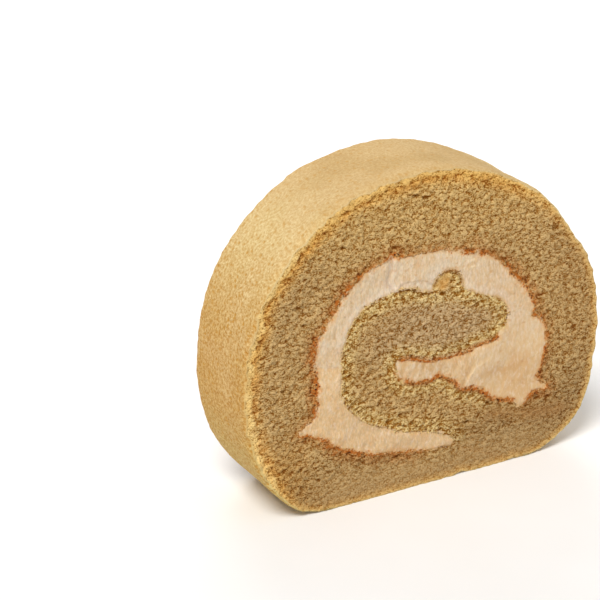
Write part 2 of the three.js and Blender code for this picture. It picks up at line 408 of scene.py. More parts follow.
def lattice_face(inside, cell):
    """A cut face as a lattice of squares. Points lie on a square lattice, each shifted at random by up to a
    fifth of a cell. inside(x, z) says which are kept. Squares with four kept corners give two triangles, and
    squares with three give one. A point where the edge touches itself is dropped. Returns the points, the
    triangles, and each edge point's next edge point."""
    columns = np.arange(-WIDTH / 2, WIDTH / 2 + cell, cell)
    rows = np.arange(0, HEIGHT + cell, cell)
    i, j = np.meshgrid(np.arange(len(columns)), np.arange(len(rows)), indexing="ij")
    level = np.zeros_like(i)
    x = columns[i] + 0.4 * cell * (scatter(i, j, level, 21) - 0.5)
    z = rows[j] + 0.4 * cell * (scatter(i, j, level, 22) - 0.5)
    keep = inside(x, z)
    number = np.arange(keep.size).reshape(keep.shape)
    corner_number = [number[:-1, :-1], number[1:, :-1], number[1:, 1:], number[:-1, 1:]]
    for _ in range(4):
        corners = [keep[:-1, :-1], keep[1:, :-1], keep[1:, 1:], keep[:-1, 1:]]
        whole = np.logical_and.reduce(corners)
        a, b, c, d = (n[whole] for n in corner_number)
        swap = (scatter(a, b, a * 0, 23) < 0.5)[:, None]
        one = np.where(swap, np.stack([a, b, c], 1), np.stack([a, b, d], 1))
        two = np.where(swap, np.stack([a, c, d], 1), np.stack([b, c, d], 1))
        triangles = [one, two]
        for missing in range(4):
            rest = [k for k in range(4) if k != missing]
            there = ~corners[missing] & corners[rest[0]] & corners[rest[1]] & corners[rest[2]]
            triangles.append(np.stack([corner_number[k][there] for k in rest], 1))
        triangles = np.vstack(triangles)
        edges = np.vstack([triangles[:, [0, 1]], triangles[:, [1, 2]], triangles[:, [2, 0]]])
        code = edges[:, 0] * keep.size + edges[:, 1]
        back = edges[:, 1] * keep.size + edges[:, 0]
        open_edges = edges[~np.isin(code, back)]
        leaving = np.bincount(open_edges[:, 0], minlength=keep.size)
        if leaving.max() <= 1:
            break
        keep = keep & (leaving.reshape(keep.shape) <= 1)
    following = np.full(keep.size, -1)
    following[open_edges[:, 0]] = open_edges[:, 1]
    used = np.unique(triangles)
    renumber = np.full(keep.size, -1)
    renumber[used] = np.arange(len(used))
    following = np.where(following[used] >= 0, renumber[following[used]], -1)
    points = np.stack([x.ravel()[used], z.ravel()[used]], axis=1)
    return points, renumber[triangles], following


def loop_from(start, following):
    """The closed loop through start, in order: every point's count of steps to start is found by doubling
    the length of its jump until all have arrived."""
    jump = np.where(following < 0, start, following)
    steps = (following >= 0).astype(np.int64)
    steps[start] = 0
    jump[start] = start
    for _ in range(int(math.log2(len(following))) + 1):
        steps = steps + steps[jump]
        jump = jump[jump]
    members = np.flatnonzero((jump == start) & (following >= 0))
    order = members[np.argsort(-steps[members], kind="stable")]
    return np.concatenate([[start], order[order != start]])


def loops(following):
    """All closed loops of edge points, the longest first."""
    found = []
    left = following.copy()
    while (left >= 0).any():
        loop = loop_from(int(np.flatnonzero(left >= 0)[0]), left)
        found.append(loop)
        left[loop] = -1
    return sorted(found, key=len, reverse=True)


def slope(field, x, z):
    """Gradient of a field function by differences over a tenth of a millimetre."""
    h = 0.05
    return (field(x + h, z) - field(x - h, z)) / (2 * h), (field(x, z + h) - field(x, z - h)) / (2 * h)


def settle_on(field, ring, level):
    """Moves points to where a field function has that level: six Newton steps along its gradient, each
    making up at most 0.4 mm, with a flat gradient counted as steeper so that no step runs away."""
    x, z = ring.T.copy()
    for _ in range(6):
        gx, gz = slope(field, x, z)
        short = np.clip(field(x, z) - level, -0.4, 0.4) / np.maximum(gx**2 + gz**2, 0.3)
        x, z = x - short * gx, z - short * gz
    return np.stack([x, z], axis=1)


def even_ring(ring, columns):
    """A closed ring with columns points at even spacing along its length."""
    shut = np.vstack([ring, ring[:1]])
    run = np.concatenate([[0], np.cumsum(np.linalg.norm(np.diff(shut, axis=0), axis=1))])
    at = np.linspace(0, run[-1], columns, endpoint=False)
    return np.stack([np.interp(at, run, shut[:, k]) for k in (0, 1)], axis=1)


def cream_ring(y, level):
    """Closed curve where the cream's edge distance at y has that level: the loop round a lattice of the
    points inside, smoothed by a running mean, moved onto the edge and spaced evenly, starting at the tail."""
    def field(x, z):
        return cream_edge(x, y, z)

    points, _, following = lattice_face(lambda x, z: field(x, z) < level, CREAM_CELL)
    ring = points[loops(following)[0]]
    for _ in range(3):
        ring = (np.roll(ring, 1, axis=0) + 2 * ring + np.roll(ring, -1, axis=0)) / 4
    ring = even_ring(settle_on(field, ring, level), CREAM_COLUMNS)
    tail = np.array(LAYER[0][:2])
    return np.roll(ring, -int(((ring - tail) ** 2).sum(axis=1).argmin()), axis=0)


def place_on(ring, points):
    """Where points in order along a closed ring are along it, from 0 to 1, each by its nearest stretch."""
    run = np.roll(ring, -1, axis=0) - ring
    length2 = np.maximum((run**2).sum(axis=1), 1e-12)
    off = points[:, None, :] - ring[None]
    t = np.clip((off * run).sum(axis=2) / length2, 0, 1)
    gap = ((off - t[..., None] * run) ** 2).sum(axis=2)
    nearest = gap.argmin(axis=1)
    return (nearest + t[np.arange(len(points)), nearest]) / len(ring)


def zipped(loop, loop_points, ring_numbers, ring):
    """Triangles between a face's loop and the ring outside it, both running the same way: the two are walked
    together, and each step is taken by whichever is behind, halfway between its own points."""
    at = place_on(ring, loop_points)
    first = at[0]
    ahead = (np.diff(np.concatenate([at, [first]])) + 0.5) % 1 - 0.5
    loop_at = first + np.maximum.accumulate(np.concatenate([[0], np.cumsum(ahead)]))
    loop_at = first + (loop_at - first) / max(loop_at[-1] - first, 1e-9)
    count = len(ring)
    begin = int(math.floor(first * count))
    ring_at = (begin + np.arange(count + 1)) / count
    loop_key = (loop_at[:-1] + loop_at[1:]) / 2
    ring_key = (ring_at[:-1] + ring_at[1:]) / 2
    key = np.concatenate([loop_key, ring_key])
    from_loop = np.concatenate([np.ones(len(loop_key), bool), np.zeros(count, bool)])
    order = np.argsort(key, kind="stable")
    from_loop = from_loop[order]
    a = np.cumsum(from_loop) - from_loop
    b = np.cumsum(~from_loop) - ~from_loop
    loop_numbers = np.concatenate([loop, loop[:1]])
    ring_cycle = ring_numbers[(begin + np.arange(count + 1)) % count]
    step_loop = np.stack([loop_numbers[np.minimum(a + 1, len(loop))], loop_numbers[a], ring_cycle[b]], axis=1)
    step_ring = np.stack([loop_numbers[a], ring_cycle[b], ring_cycle[np.minimum(b + 1, count)]], axis=1)
    return np.where(from_loop[:, None], step_loop, step_ring)


def numbered(walls):
    """The numbers of each wall's points, in its rows and columns, counted on from wall to wall."""
    numbers, total = [], 0
    for wall in walls:
        rows, columns = wall.shape[:2]
        numbers.append(total + np.arange(rows * columns).reshape(rows, columns))
        total += rows * columns
    return numbers


def cut_body(cell, region, walls):
    """A closed body between two cut faces. region(side) gives the function that says which lattice points
    belong to that side's face. walls is a list of arrays of points, rows from the front to the back by
    columns round the body by x, y, z; the outside wall comes first and runs anticlockwise. Returns the
    points, the triangles, the quads, and for each point 0 on a wall, -1 on the front face and 1 on the
    back."""
    points = [wall.reshape(-1, 3) for wall in walls]
    total = sum(len(part) for part in points)
    which = [np.zeros(total)]
    triangles, quads = [], []
    numbers = numbered(walls)
    for here in numbers:
        beside = np.roll(here, -1, axis=1)
        quads.append(np.stack([beside[:-1], here[:-1], here[1:], beside[1:]], axis=2).reshape(-1, 4))
    for side, row in SIDES:
        flat, lattice, following = lattice_face(region(side), cell)
        found = loops(following)
        assert len(found) == len(walls), "each cut face has one edge for each wall"
        rings = [wall[row][:, [0, 2]] for wall in walls]
        faces = [lattice + total]
        for loop in found:
            gaps = [((flat[loop][:, None] - ring) ** 2).sum(axis=2).min(axis=1).mean() for ring in rings]
            k = int(np.argmin(gaps))
            faces.append(zipped(loop + total, flat[loop], numbers[k][row], rings[k]))
        faces = np.vstack(faces)
        triangles.append(faces if side < 0 else faces[:, ::-1])
        points.append(np.stack([flat[:, 0], np.full(len(flat), side * CUT), flat[:, 1]], axis=1))
        which.append(np.full(len(flat), float(side)))
        total += len(flat)
    return np.vstack(points), np.vstack(triangles), np.vstack(quads), np.concatenate(which)


def add_object(name, data):
    """Puts a mesh, a lamp or a camera into the scene as an object."""
    made = bpy.data.objects.new(name, data)
    bpy.context.scene.collection.objects.link(made)
    return made


def make_mesh(name, points, triangles, quads, wall_material, flat_quads):
    """A mesh object from points in millimetres. The quads take the material of that number, and the last
    flat_quads of them are shaded flat, so that the cut faces keep a crisp edge where they meet them."""
    corners = np.concatenate([triangles.ravel(), quads.ravel()])
    starts = np.concatenate([np.arange(len(triangles)) * 3, len(triangles) * 3 + np.arange(len(quads)) * 4])
    material = np.concatenate([np.zeros(len(triangles)), np.full(len(quads), wall_material)])
    mesh = bpy.data.meshes.new(name)
    mesh.vertices.add(len(points))
    mesh.vertices.foreach_set("co", (points * MM).astype(np.float32).ravel())
    mesh.loops.add(len(corners))
    mesh.loops.foreach_set("vertex_index", corners.astype(np.int32))
    mesh.polygons.add(len(starts))
    mesh.polygons.foreach_set("loop_start", starts.astype(np.int32))
    mesh.polygons.foreach_set("use_smooth", np.arange(len(starts)) < len(starts) - flat_quads)
    mesh.update(calc_edges=True)
    mesh.validate()
    mesh.polygons.foreach_set("material_index", material.astype(np.int32))
    return add_object(name, mesh)


def store(mesh, **values):
    """Stores a number or a colour for each point under each name, for the materials to read."""
    for name, array in values.items():
        array = array.astype(np.float32)
        if array.ndim == 2:
            mesh.color_attributes.new(name, "FLOAT_COLOR", "POINT").data.foreach_set("color", array.ravel())
        else:
            mesh.attributes.new(name, "FLOAT", "POINT").data.foreach_set("value", array)


# ---------------------------------------------------------------- relief


def unevenness(u, v, seed):
    """The solid model's slow unevenness, from 0 to 1: two crossing sine waves, each bent by another."""
    along = np.sin(u + 1.3 * np.sin(0.7 * v + seed))
    across = np.sin(1.2 * v + 2 * seed + 1.1 * np.sin(0.8 * u))
    return 0.5 + 0.25 * (along + across)


def hollow(x, z, side):
    """Depth of the slow hollows of a cut face, fading out towards the skin and the underside."""
    inside = np.minimum(z, HEIGHT - AXIS_HEIGHT - np.hypot(x, z - AXIS_HEIGHT))
    turn = 2 * math.pi / HOLLOW_SPAN
    return DIP * smoothstep(inside, 0, DIP_FADE) * unevenness(turn * x, turn * z, HOLLOW_SEED + side)


def along_knife(x, z, stretch=1.3):
    """Coordinates in which a pattern is drawn out along the knife's path: x over the stretch, and z plus
    0.03 x + 0.0015 x^2, so that the path rises a little at the left and falls at the right."""
    return x / stretch, z + 0.03 * x + 0.0015 * x**2


def skin_curl(x, z):
    """How far the skin curls over the cut: 0 at the right and the bottom, 1 at the left and the top."""
    return smoothstep(x, 22, -20) * smoothstep(z, 2, 12)


def skin_band(x, y, z, inward):
    """1 in the poreless band just inside the skin, 0 in the crumb, for points that lie inward of the rim.
    The band is about 0.6 mm wide, and twice that where the skin curls over the cut."""
    curl = skin_curl(x, z)
    width = 0.6 + 0.7 * curl + (0.3 + 0.5 * curl) * drift(x, y, z, 1.5, 36)
    return smoothstep(inward, width + 0.45, width - 0.3)


def rim_drop(x, y, z):
    """How far the rim lies below the cut plane: lumpy where the skin curls over, nearly even elsewhere."""
    return 0.12 + 0.28 * skin_curl(x, z) * drift(x, y, z, 1.4, 33) + 0.12 * drift(x, y, z, 0.7, 35)


def rim_pits(x, z, inward):
    """Depth from 0 to 1 of the browned pits between the curled skin and the crumb."""
    strength = skin_curl(x, z) * (1 - 0.5 * smoothstep(z, 44, 26))
    return pores(x, z, 1.7, (0.35, 0.65), 0.75, 1.2, 71) * bump_between(inward, 0.3, 3) * strength


def burnt(x, z):
    """1 on the darkest patches of crust, falling away from each as exp(-(d / radius)^2)."""
    return falling(np.min([np.hypot(x - at_x, z - at_z) for at_x, at_z in BURNT], axis=0), BURNT_RADIUS)


def nub_patch(x, z):
    """1 on the smooth patch of the bulge of sponge below the crown."""
    bulge_x, bulge_z = BULGE[:2]
    return smoothstep(np.hypot(x - bulge_x + 1.3, z - bulge_z - 1.6), 3.2, 1.2)


def pressed(x, z):
    """How tightly the crumb is pressed, from 0 to 1: most in the strip under the roll, where the sheet
    carries the weight, along the smear beside the thick end of the cream, and on the bulge."""
    strip = 0.7 * smoothstep(z, 10, 4) * smoothstep(x, -34, -20) * smoothstep(x, 40, 26)
    return np.maximum(np.maximum(strip, 0.6 * bell("smear", x, z, 1.6)), 0.7 * nub_patch(x, z))


def bare_side(x, y, z):
    """1 in the crumb just inside the spiral, next to the sheet's bare side, where the pores are larger."""
    return smoothstep(cream_edge(x, y, z), 4.5, 0.6) * (1 - browned(x, z))


def crumb(x, z, side):
    """Depth of the crumb below its cut, and how dark its openings are, from 0 to 1: torn walls that stand as
    small lumps of two sizes with creases between them, and among them pores of two sizes, more and darker on
    the bare side, all drawn out along the knife's path and fewer where the crumb is pressed."""
    y = np.full_like(x, side * CUT)
    seed = 40 if side < 0 else 60
    u, v = along_knife(x, z, 1.5)
    loose = 1 - pressed(x, z)
    lumps = pores(u, v, 0.9, (0.4, 0.63), 0.95, 1.1, seed + 1)
    fine = pores(u, v, 0.55, (0.22, 0.37), 0.9, 1.1, seed + 2)
    crease = (1 - np.clip(0.75 * lumps + 0.4 * fine, 0, 1)) * (0.45 + 0.55 * loose)
    bare = bare_side(x, y, z)
    open_share = (1 + 0.2 * drift(x, y, z, 4, seed)) * loose
    middle = pores(u, v, 1.4, (0.22, 0.44), 0.28 + 0.35 * bare, 1.25, seed + 3) * open_share
    large = pores(u, v, 2.6, (0.36, 0.7), 0.05 + 0.6 * bare, 1.25, seed + 4) * open_share
    depth = 0.42 * crease + 0.18 * middle + 0.4 * large
    # the second value is painted shade: how dark the creases and pores are drawn
    return depth, np.clip(0.55 * crease * (1 + 0.5 * bare) + 0.35 * middle + 0.75 * large, 0, 1)


def border_depth(x, y, z):
    """Depth below the cut plane at which the crumb and the cream meet: a fifth of a millimetre, uneven."""
    return 0.2 + 0.12 * drift(x, y, z, 1.2, 72)


def sponge_face(x, z, side, inward):
    """Depth of the sponge's cut face below the cut plane, and how dark its openings are: the crumb, closed
    in the band beside the skin and shallow beside the cream, with pits along the curled skin and in the burnt
    patches, a faint groove along the sheet's outer end, and the gap beside the lap of the cream. inward is
    the distance from the rim."""
    y = np.full_like(x, side * CUT)
    depth, pit = crumb(x, z, side)
    band = skin_band(x, y, z, inward)
    crack = bell("crack", x, z, 0.25)
    browned_pits = rim_pits(x, z, inward)
    depth = (depth + 0.12) * (1 - 0.75 * band) + rim_drop(x, y, z) * band
    depth = depth + 0.1 * bell("seam", x, z, 0.35) + 0.4 * crack + 0.3 * browned_pits
    edge = cream_edge(x, y, z)
    burnt_pits = pores(x, z, 1.05, (0.22, 0.48), 0.7, 1.1, 73) * bump_between(edge, -0.3, 2) * burnt(x, z)
    away = smoothstep(edge, 0, 0.9)
    depth = depth * away + border_depth(x, y, z) * (1 - away) + 0.45 * burnt_pits
    # painted shade in the crumb's openings and in the gap, darker still at the browned and burnt pits
    pit = pit * (1 - 0.6 * band) + 0.7 * crack + 0.2 * browned_pits + burnt_pits
    return hollow(x, z, side) + depth, np.clip(pit, 0, 1)


def stepped(name, x, z):
    """Depth of a step down to the right of a mark: its full depth close to it, fading out over 4 mm."""
    off = off_mark(name, x, z)
    return STEPS[name] * smoothstep(off, 0.3, -0.3) * smoothstep(np.abs(off), 4, 0.5)


def fissure_reach(x, z):
    """1 along the fissure and 0 from about 3 mm past its sides and ends."""
    return smoothstep(bell("fissure", x, z, 3), 0, 0.3)


def lip_bead(x, z):
    """1 on the crest of the lip, falling to each side as exp(-(d / 0.35)^2), and fading out to the right."""
    return falling(off_mark("lip", x, z) + 0.2, 0.35) * smoothstep(x, 16, 10.5)


def froth_patch(x, z):
    """1 in the middle of the frothy patch right of the crown, falling away as exp(-(d / radius)^2)."""
    return falling(np.hypot(x - FROTH[0], z - FROTH[1]), FROTH_RADIUS)


def scraped(x, z):
    """1 on the tongue left of the lip, where the knife scraped the cream thin, and 0 elsewhere."""
    tongue = smoothstep(look_up(tongue_field, x, z), 0.5, -0.5)
    return tongue * smoothstep(off_mark("lip", x, z), -0.3, 0.5) * smoothstep(x, 13, 9)


def cream_face(x, z, side):
    """Depth of the cream's cut face below the cut plane: slow smears, strongest in the lower left, fine
    drags down the cut and a few pits, a lumpy froth, a raised lip along the thick end, steps down at the laps
    and in the left arm, a closed fissure under the crown with its right side raised, and an edge that rounds
    down to the crumb."""
    y = np.full_like(x, side * CUT)
    seed = 80 if side < 0 else 90
    u, v = along_knife(x, z)
    slow = 0.16 * drift(x, y, z, 7, seed) + 0.12 * drift(x, y, z, 1.8, seed + 1)
    slow = slow + 0.24 * smoothstep(z, 25, 18) * smoothstep(x, 12, 0) * drift(x, y, z, 2.3, seed + 5)
    drag = 0.11 * drift(x - 0.2 * z, y, z / 3, 0.6, seed + 2)
    pit = pores(u, v, 1.9, (0.14, 0.32), 0.5, 1.2, seed + 3)
    froth = 0.25 * froth_patch(x, z) * drift(x, y, z, 0.8, seed + 4)
    from_lip = off_mark("lip", x, z)
    raised = 0.2 * smoothstep(from_lip, 0.45, -0.35) * np.exp(-np.abs(from_lip) / 4) + 0.04 * lip_bead(x, z)
    steps = sum(stepped(name, x, z) for name in STEPS)
    fissure = off_mark("fissure", x, z)
    split = (0.4 * falling(fissure + 0.5, 0.7) - 0.24 * falling(fissure - 0.6, 0.6)) * fissure_reach(x, z)
    depth = 0.08 + slow + drag + froth + 0.2 * pit - raised * smoothstep(x, 19.5, 13) + steps + split
    away = smoothstep(-cream_edge(x, y, z), 0, 0.8)
    return hollow(x, z, side) + depth * away + (border_depth(x, y, z) + UNDER) * (1 - away)


# ---------------------------------------------------------------- walls


def from_cut(y):
    """Distance of a place from the nearer cut plane."""
    return CUT - np.abs(y)


def skin_wall():
    """The baked outside: the roll's outline carried along Y, with a rim at each cut that rounds in, most
    where the skin curls over. It is dented by the solid model's rule, less to the left, roughened by noise,
    most at the right and along the front rim, and kinked by the notches. Each point moves towards the roll's
    middle, and the rims drop below the cuts."""
    ring = even_ring(roll_edge(2880), SKIN_COLUMNS)
    deep, inset = np.array(RIM).T
    between = np.linspace(deep[-1], THICKNESS - deep[-1], int(THICKNESS / SKIN_STEP))[1:-1]
    along = np.concatenate([deep, between, THICKNESS - deep[::-1]]) - CUT
    inset = np.concatenate([inset, 0 * between, inset[::-1]])[:, None]
    x, y, z = np.broadcast_arrays(ring[None, :, 0], along[:, None], ring[None, :, 1])
    turn = np.arctan2(z - AXIS_HEIGHT, x)
    curl = skin_curl(x, z)
    front = 1 - 0.65 * smoothstep(y, -2, 4)
    fade = math.prod(smoothstep(room, 0, DENT_CLEAR) for room in (z, WIDTH / 2 - np.abs(x), HEIGHT - z))
    dent = SKIN_DENT * fade * unevenness(9 * turn, 0.4 * y, 1) * smoothstep(x, -45, 15)
    rough = (
        0.1 * drift(x, y, z, 2.4, 31)
        + 0.07 * drift(x, y, z, 1.1, 32)
        + 0.22 * smoothstep(x, 15, 35) * drift(x, 0.3 * y, z, 2.2, 55)
        + 0.16 * front * curl * smoothstep(from_cut(y), 2.2, 0.4) * drift(x, y, z, 0.9, 54)
    )
    lumpy = 1 + 0.9 * front * drift(x, y, z, 1.4, 34)
    curled = inset * (0.45 + 0.55 * curl) * lumpy * smoothstep(z, -0.5, 1.5)
    notches = sum(notch * falling(x - at, 1.3) for at, notch in NOTCHES) * smoothstep(z, 4, 1)
    move = dent + smoothstep(z, 0, 2) * (0.14 + rough) + curled + notches
    drop = rim_drop(x, y, z) * smoothstep(from_cut(y), 1.0, 0)
    moved = [x - move * np.cos(turn), y - np.sign(y) * drop, np.maximum(z - move * np.sin(turn), 0)]
    return np.stack(moved, axis=2)


def cream_wall(level):
    """A wall where the cream's edge distance has that level: its closed curve at each cut, blended straight
    between."""
    front, back = (cream_ring(side * CUT, level) for side, _ in SIDES)
    share = np.linspace(0, 1, CREAM_ROWS)[:, None, None]
    flat = front * (1 - share) + back * share
    y = np.broadcast_to((share * 2 - 1) * CUT, flat[..., :1].shape)
    return np.concatenate([flat[..., :1], y, flat[..., 1:]], axis=2)


# ---------------------------------------------------------------- colours


def linear(hex_colour):
    """An sRGB hex colour as linear RGBA."""
    parts = [int(hex_colour[k : k + 2], 16) / 255 for k in (0, 2, 4)]
    return (*(c / 12.92 if c <= 0.04045 else ((c + 0.055) / 1.055) ** 2.4 for c in parts), 1.0)


def layered(colours, layers):
    """Colours, one row a point: each layer in turn moves them by its share, 0 to 1, towards its colour."""
    for share, hex_colour in layers:
        share = np.clip(share, 0, 1)[:, None]
        colours = colours * (1 - share) + np.array(linear(hex_colour)) * share
    return colours


def crust_strength(x, y, z):
    """How strongly the browned side of the sheet marks the cut: 0 to 1, and up to 1.6 where it is burnt."""
    patchy = (0.4 + 0.5 * smoothstep(drift(x, y, z, 7, 44), -0.5, 0.2)) * (1 - 0.35 * smoothstep(z, 28, 18))
    return browned(x, z) * (np.maximum(patchy, 0.8 * tongue_top(x, z)) + 0.7 * burnt(x, z))


def crumb_tone(x, y, z):
    """Colour of the crumb without its creases: tan, with each layer's colour laid over it in turn, a few of
    them painted light and painted shade.
    """
    under = browned(x, z) * smoothstep(z, 14, 11) * falling(cream_edge(x, y, z) - 2, 1.3)
    streaks = 0.6 + 0.6 * drift(0.3 * (x + z), y, z - x, 0.9, 56)
    above = bump_between(look_up(bulge_field, x, z), -0.9, 0.3) * smoothstep(z, BULGE[1], BULGE[1] + 2)
    middle = smoothstep(np.hypot((x - 2) / 19, (z - 36) / 11), 1.15, 0.5)
    return layered(np.array(linear("D5B27A")), [
        (smoothstep(z, 50, 68), "E4C080"),  # painted light: lighter near the crown, where the light falls strongest
        (0.8 * middle, "D2B387"),  # greyer in the middle of the roll
        (0.75 * bare_side(x, y, z), "FBE1A0"),  # yellower on the bare side
        (0.8 * smoothstep(z - 0.35 * np.maximum(x, 0), 18, -2), "B19264"),  # painted shade: greyer and darker low down, as the light falls off towards the ground
        (0.3 * smoothstep(x, 26, 38) * smoothstep(z, 20, 30), "B58F5C"),  # painted shade: darker at the right, as the light falls off there
        (0.4 * smoothstep(x, -24, -36) * smoothstep(z, 24, 12), "CB9849"),  # golden at the lower left
        (0.6 * bell("smear", x, z, 2.2), "A87A46"),  # browner along the smear
        (0.25 * under, "A0733F"),  # and under the lower arm
        (streaks * nub_patch(x, z), "E0AC62"),  # orange streaks on the bulge
        (0.7 * above, "8F5F2E"),  # dark upper edge of the bulge
        (0.25 * bell("seam", x, z, 0.5), "B98A52"),
        # painted shade: dark in the gap between the cream and the crumb
        (0.8 * bell("crack", x, z, 0.25), "6B4218"),
    ])


def skin_tone(x, y, z):
    """Colour of the baked skin without its grain: each layer's colour laid over a pale straw in turn."""
    near_rim = smoothstep(from_cut(y), 1.8 + 2.2 * smoothstep(z, 35, 50), 0) * (0.4 + 0.6 * skin_curl(x, z))
    patchy = (0.65 + 0.35 * drift(x, y, z, 1.6, 47)) * (0.75 + 0.35 * drift(x, y, z, 0.8, 53))
    return layered(np.array(linear("DAC784")), [
        (smoothstep(z, 5, 30), "DFBC7A"),  # deeper gold above the ground
        (smoothstep(z, 36, 60), "ECD59D"),  # paler towards the crown
        (smoothstep(z, 61, 72), "D6B77F"),  # browner on top
        (0.35 * smoothstep(drift(x, y, z, 6, 46), -0.4, 0.5), "EED3A0"),  # pale patches
        (0.35 * near_rim * patchy, "E8BC72"),  # golden along the rims
    ])


def face_tone(x, y, z, inward):
    """Colour of the sponge's cut faces: the crumb's, with each layer's colour laid over it in turn towards
    the rim, most where the skin curls over the cut."""
    curl = 0.25 + 0.75 * smoothstep(x, 38, 12) * smoothstep(z, 2, 16)
    patch = smoothstep(drift(x, y, z, 1.1, 37), -0.35, 0.4)
    beside = curl * smoothstep(inward, 1.6 + 3.2 * curl, 0.4)
    band = skin_band(x, y, z, inward) * curl
    return layered(crumb_tone(x, y, z), [
        (0.85 * beside, "FFC96A"),  # golden beside the rim
        (0.6 * beside * bump_between(z, 6, 42) * smoothstep(x, 0, -15), "FFDFA0"),  # paler at the lower left
        (0.4 * curl * patch * bump_between(inward, 0.3, 2 + 2 * curl), "D8933C"),  # orange-brown patches
        (band, "F6C978"),  # pale gold band inside the skin
        (0.6 * band * smoothstep(x, -26, -33) * (1 - 0.5 * patch), "FADC98"),  # palest at the far left
        (0.4 * smoothstep(rim_pits(x, z, inward), 0.1, 0.6), "B8762E"),  # browned pits
    ])


def cream_tone(x, y, z):
    """Colour of the cream: beige, a little pink, with each layer's colour laid over it in turn, among them
    painted highlights and shade at the lip, the step and the fissure.
    """
    u, v = along_knife(x, z)
    inward = -cream_edge(x, y, z)
    beside_lip = falling(off_mark("lip", x, z) + 1.7, 1.6) * smoothstep(x, 21, 14)
    lines = smoothstep(drift((0.5 * x + 0.87 * z) / 5, y, 0.87 * x - 0.5 * z, 0.55, 50), -0.3, 0.4)
    dragged = smoothstep(pores(u, v, 2.0, (0.15, 0.4), 0.4, 1.2, 49), 0, 0.5)
    strip = smoothstep(inward, 0.3, 0.7) * smoothstep(inward, 2.6, 1.2) * (1 - browned(x, z))
    bubbles = froth_patch(x, z) * smoothstep(drift(x, y, z, 0.7, 52), -0.3, 0.3)
    below = smoothstep(off_mark("step", x, z), 0.15, -0.15) * smoothstep(x, -17, -20) * smoothstep(z, 14, 22)
    inner_lap = off_mark("inner lap", x, z)
    inside_lap = smoothstep(inner_lap, -0.1, 0.5) * smoothstep(inner_lap, 2.6, 1.4)
    fissure, reach = off_mark("fissure", x, z), fissure_reach(x, z)
    return layered(np.array(linear("DAC09B")), [
        (smoothstep(z - 0.3 * np.maximum(x, 0), 46, 14), "D4B488"),  # more beige towards the ground
        (0.5 * smoothstep(drift(x, y, z, 3.5, 39), 0, 0.7) * smoothstep(z, 14, 40), "E2CFB4"),  # pale smears
        (0.4 * smoothstep(drift(x, y, z, 2.6, 48), 0, 0.7), "CC9E66"),  # warm smears
        (0.4 * smoothstep(x, 6, 16) * smoothstep(z, 30, 42), "CCA678"),  # warmer right of the crown
        (0.5 * bell("smudge", x, z, 1.3), "C2935C"),
        (0.5 * falling(x - 24, 5) * falling(z - 19.5, 3.5), "C99C64"),  # warmer in the thick end's corner
        (0.4 * beside_lip, "E8D0AC"),  # painted highlight: pale on the raised block beside the lip
        # painted highlight on the crest of the lip
        (0.35 * lip_bead(x, z), "F0DBB0"),
        (0.45 * smoothstep(inward, 0.9, 0.1), "D6A865"),  # warm border
        (0.5 * scraped(x, z) * lines, "B88C54"),  # crumb showing where the knife scraped
        (0.5 * dragged, "C08A52"),  # specks of crumb
        (0.4 * strip * smoothstep(z, 34, 42), "DDCAB5"),  # pale strip along the inner edge
        (0.35 * bell("lap", x, z, 0.2), "A37C52"),  # shadow of the lap
        (0.6 * bubbles, "F4E6C0"),  # froth
        (0.45 * below, "E0BB87"),  # warmer below the step
        # painted highlight along the step
        (0.4 * bell("step", x, z, 0.3), "F0DFC4"),
        (0.2 * inside_lap, "E2D2BC"),
        (0.15 * bell("inner lap", x, z, 0.3), "F2E2C6"),
        (0.4 * reach * falling(fissure - 0.4, 0.4), "EFE0C8"),  # painted highlight on the raised side of the fissure
        (0.5 * reach * falling(fissure + 0.5, 0.7), "BFA68F"),  # painted shadow in the fold beside it
    ])


# ---------------------------------------------------------------- pieces


def store_surface(mesh, x, y, z, pit, sponge, cream):
    """Stores for each point how dark its openings are, the colours of sponge and cream there, the distance
    from the cream's edge in millimetres, grown on top of the tongue so that its marks are thin, how strongly
    the crust marks it, and how smooth it is: on the bulge, where the crumb is pressed, and in the cream of
    the thick end."""
    edge = cream_edge(x, y, z) * (1 + 1.3 * tongue_top(x, z))
    smooth = np.maximum(0.7 * nub_patch(x, z), 0.65 * pressed(x, z))
    smooth = np.maximum(smooth, smoothstep(edge, 0.3, -0.3) * smoothstep(x, 10, 15) * smoothstep(z, 37, 31))
    store(mesh, pit=pit, sponge_tone=sponge, cream_tone=cream)
    store(mesh, edge=edge, crust=crust_strength(x, y, z), smooth=smooth)


def make_sponge():
    """The sponge: the skin outside, the cut faces with their crumb, and the channel that the cream fills."""
    walls = [skin_wall(), cream_wall(-OVERLAP)[:, ::-1]]
    skin_numbers, channel_numbers = numbered(walls)
    rim_fields = {side: area_field(walls[0][row][:, [0, 2]]) for side, row in SIDES}
    margin = KEEP_OFF * SPONGE_CELL

    def region(side):
        def inside(x, z):
            in_rim = look_up(rim_fields[side], x, z) < -margin
            return in_rim & (cream_edge(x, side * CUT, z) > margin - OVERLAP)

        return inside

    points, triangles, quads, which = cut_body(SPONGE_CELL, region, walls)
    x, y, z = points.T
    tone = skin_tone(x, y, z)
    pit = 0.5 + 0.5 * smoothstep(z, 72, 45)
    pit[skin_numbers[[0, -1]]] = 0
    for side, row in SIDES:
        on_face = which == side
        on_face[channel_numbers[row]] = True
        face_x, face_y, face_z = points[on_face].T
        inward = -look_up(rim_fields[side], face_x, face_z)
        tone[on_face] = face_tone(face_x, face_y, face_z, inward)
        depth, pit[on_face] = sponge_face(face_x, face_z, side, inward)
        y[on_face] = side * (CUT - depth)
    flat_quads = channel_numbers[1:].size
    piece = make_mesh("sponge_crumb_and_skin", points, triangles, quads, 1, flat_quads)
    store_surface(piece.data, x, y, z, pit, tone, cream_tone(x, y, z))
    for material in (crumb_material(), skin_material()):
        piece.data.materials.append(material)
    return piece


